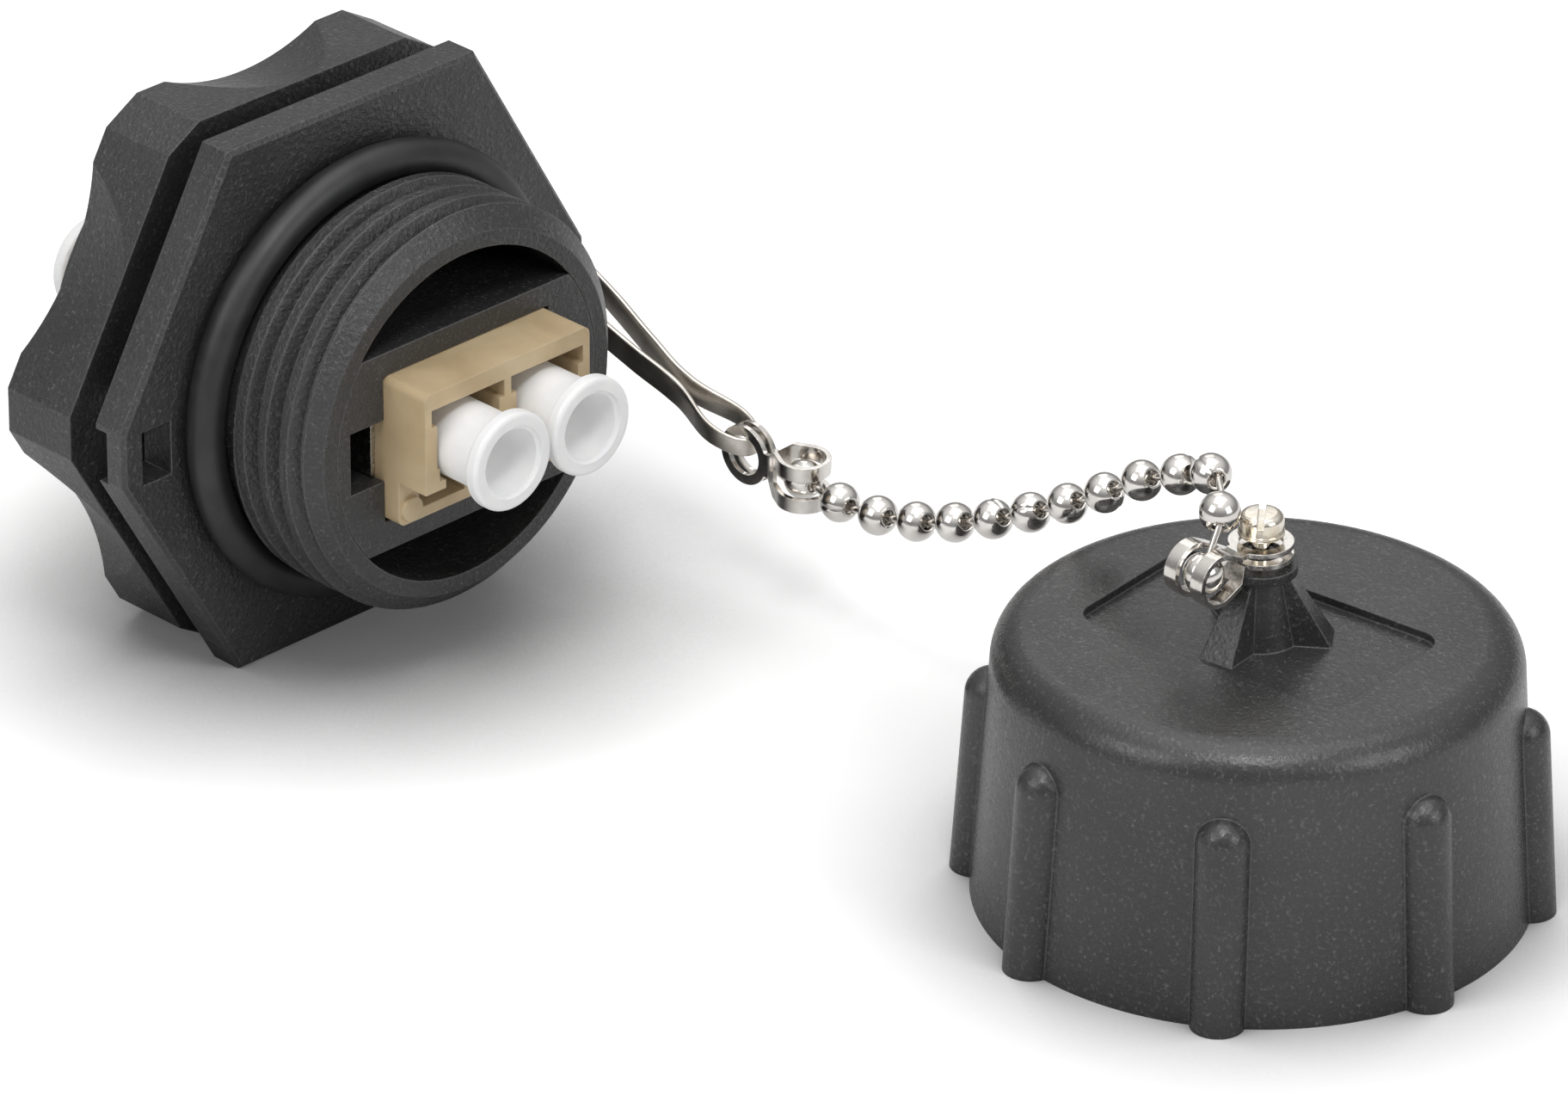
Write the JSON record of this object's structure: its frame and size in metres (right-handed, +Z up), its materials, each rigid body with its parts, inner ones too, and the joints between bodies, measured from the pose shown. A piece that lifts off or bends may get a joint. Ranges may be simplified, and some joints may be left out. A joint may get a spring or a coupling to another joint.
{
  "type": "bulkhead fibre adapter",
  "caption": "sealed threaded bulkhead coupler for a duplex LC fibre link, hexagonal flange and lock nut, white dust plugs, ribbed screw cap tethered by a bead chain",
  "frame": {"origin": "on the coupler's axis in the rear face of its flange, the plane that lies on the panel", "axes": "X out of the panel along the coupler, Y along the pair of fibre ports, Z up across them; the set lies on a flat of the hexagon"},
  "size_m": [0.0957, 0.0491, 0.0334],
  "materials": {
    "black_nylon": "glass-filled black nylon, fine grain",
    "black_rubber": "smooth seal rubber",
    "beige_plastic": "satin moulded plastic",
    "white_ceramic": "polished ceramic",
    "white_plastic": "soft white plastic",
    "bright_steel": "nickel-plated, bright"
  },
  "bodies": {
    "housing": {"housing": "black_nylon", "spout_ring": "black_rubber", "panel_ring": "black_rubber", "adapter_carrier": "black_nylon", "adapter_front_half": "beige_plastic", "adapter_rear_half": "beige_plastic", "left_sleeve": "white_ceramic", "right_sleeve": "white_ceramic", "adapter_clip": "bright_steel"},
    "lock_nut": {"lock_nut": "black_nylon"},
    "front_dust_plug_left": {"front_dust_plug_left": "white_plastic"},
    "front_dust_plug_right": {"front_dust_plug_right": "white_plastic"},
    "rear_dust_plug_left": {"rear_dust_plug_left": "white_plastic"},
    "rear_dust_plug_right": {"rear_dust_plug_right": "white_plastic"},
    "tether": {"tether_loop": "bright_steel"},
    "tether_coupling": {"tether_coupling": "bright_steel"},
    "bead_01": {"bead_01": "bright_steel", "link_01": "bright_steel"},
    "bead_02": {"bead_02": "bright_steel", "link_02": "bright_steel"},
    "bead_03": {"bead_03": "bright_steel", "link_03": "bright_steel"},
    "bead_04": {"bead_04": "bright_steel", "link_04": "bright_steel"},
    "bead_05": {"bead_05": "bright_steel", "link_05": "bright_steel"},
    "bead_06": {"bead_06": "bright_steel", "link_06": "bright_steel"},
    "bead_07": {"bead_07": "bright_steel", "link_07": "bright_steel"},
    "bead_08": {"bead_08": "bright_steel", "link_08": "bright_steel"},
    "bead_09": {"bead_09": "bright_steel", "link_09": "bright_steel"},
    "bead_10": {"bead_10": "bright_steel", "link_10": "bright_steel"},
    "bead_11": {"bead_11": "bright_steel", "link_11": "bright_steel"},
    "bead_12": {"bead_12": "bright_steel", "link_12": "bright_steel"},
    "bead_13": {"bead_13": "bright_steel", "link_13": "bright_steel"},
    "bead_14": {"bead_14": "bright_steel"},
    "cap_coupling": {"cap_coupling": "bright_steel"},
    "cap": {"screw_cap": "black_nylon", "cap_screw": "bright_steel"}
  },
  "joints": [
    {"name": "nut_spin", "type": "hinge", "parent": "housing", "child": "lock_nut", "pos_m": [-0.0045, 0, 0], "axis": [1, 0, 0], "continuous": true},
    {"name": "front_plug_left_pull", "type": "slide", "parent": "housing", "child": "front_dust_plug_left", "axis": [1, 0, 0], "range_m": [0, 0.012]},
    {"name": "front_plug_right_pull", "type": "slide", "parent": "housing", "child": "front_dust_plug_right", "axis": [1, 0, 0], "range_m": [0, 0.012]},
    {"name": "rear_plug_left_pull", "type": "slide", "parent": "housing", "child": "rear_dust_plug_left", "axis": [-1, 0, 0], "range_m": [0, 0.012]},
    {"name": "rear_plug_right_pull", "type": "slide", "parent": "housing", "child": "rear_dust_plug_right", "axis": [-1, 0, 0], "range_m": [0, 0.012]},
    {"name": "tether_swing", "type": "hinge", "parent": "housing", "child": "tether", "pos_m": [0.0016, 0.01757, -0.0003], "axis": [0, 1, 0], "range_deg": [-20, 6]},
    {"name": "tether_coupling_swing", "type": "hinge", "parent": "tether", "child": "tether_coupling", "pos_m": [0.0172, 0.01757, -0.0064], "axis": [0, 0, 1], "range_deg": [-12, 12]},
    {"name": "chain_bend_01", "type": "hinge", "parent": "tether_coupling", "child": "bead_01", "pos_m": [0.0214, 0.01757, -0.00698], "axis": [0, 0, 1], "range_deg": [-18, 18]},
    {"name": "chain_bend_02", "type": "hinge", "parent": "bead_01", "child": "bead_02", "pos_m": [0.02391, 0.01712, -0.00705], "axis": [0, 0, -1], "range_deg": [-15, 15]},
    {"name": "chain_bend_03", "type": "hinge", "parent": "bead_02", "child": "bead_03", "pos_m": [0.02749, 0.01663, -0.00657], "axis": [0, 0, 1], "range_deg": [-15, 15]},
    {"name": "chain_bend_04", "type": "hinge", "parent": "bead_03", "child": "bead_04", "pos_m": [0.03099, 0.01624, -0.00563], "axis": [0, 0, -1], "range_deg": [-15, 15]},
    {"name": "chain_bend_05", "type": "hinge", "parent": "bead_04", "child": "bead_05", "pos_m": [0.03441, 0.01592, -0.00439], "axis": [0, 0, 1], "range_deg": [-15, 15]},
    {"name": "chain_bend_06", "type": "hinge", "parent": "bead_05", "child": "bead_06", "pos_m": [0.03772, 0.01563, -0.00289], "axis": [0, 0, -1], "range_deg": [-15, 15]},
    {"name": "chain_bend_07", "type": "hinge", "parent": "bead_06", "child": "bead_07", "pos_m": [0.04095, 0.01535, -0.0012], "axis": [0, 0, 1], "range_deg": [-15, 15]},
    {"name": "chain_bend_08", "type": "hinge", "parent": "bead_07", "child": "bead_08", "pos_m": [0.0441, 0.01507, 0.00061], "axis": [0, 0, -1], "range_deg": [-15, 15]},
    {"name": "chain_bend_09", "type": "hinge", "parent": "bead_08", "child": "bead_09", "pos_m": [0.04722, 0.0148, 0.0025], "axis": [0, 0, 1], "range_deg": [-15, 15]},
    {"name": "chain_bend_10", "type": "hinge", "parent": "bead_09", "child": "bead_10", "pos_m": [0.05022, 0.01457, 0.00455], "axis": [0, 0, -1], "range_deg": [-15, 15]},
    {"name": "chain_bend_11", "type": "hinge", "parent": "bead_10", "child": "bead_11", "pos_m": [0.05344, 0.01435, 0.00625], "axis": [0, 0, 1], "range_deg": [-15, 15]},
    {"name": "chain_bend_12", "type": "hinge", "parent": "bead_11", "child": "bead_12", "pos_m": [0.05655, 0.01379, 0.00808], "axis": [0, 0, -1], "range_deg": [-15, 15]},
    {"name": "chain_bend_13", "type": "hinge", "parent": "bead_12", "child": "bead_13", "pos_m": [0.0596, 0.01195, 0.00828], "axis": [0, 0, 1], "range_deg": [-12, 12]},
    {"name": "chain_bend_14", "type": "hinge", "parent": "bead_13", "child": "bead_14", "pos_m": [0.06084, 0.00973, 0.00582], "axis": [0, 0, -1], "range_deg": [-12, 12]},
    {"name": "cap_coupling_swing", "type": "hinge", "parent": "bead_14", "child": "cap_coupling", "pos_m": [0.06094, 0.00913, 0.0049], "axis": [0, 0, 1], "range_deg": [-18, 16]},
    {"name": "cap_swivel", "type": "hinge", "parent": "cap_coupling", "child": "cap", "pos_m": [0.0611, 0.01363, 0.0049], "axis": [0, 0, 1], "continuous": true}
  ]
}
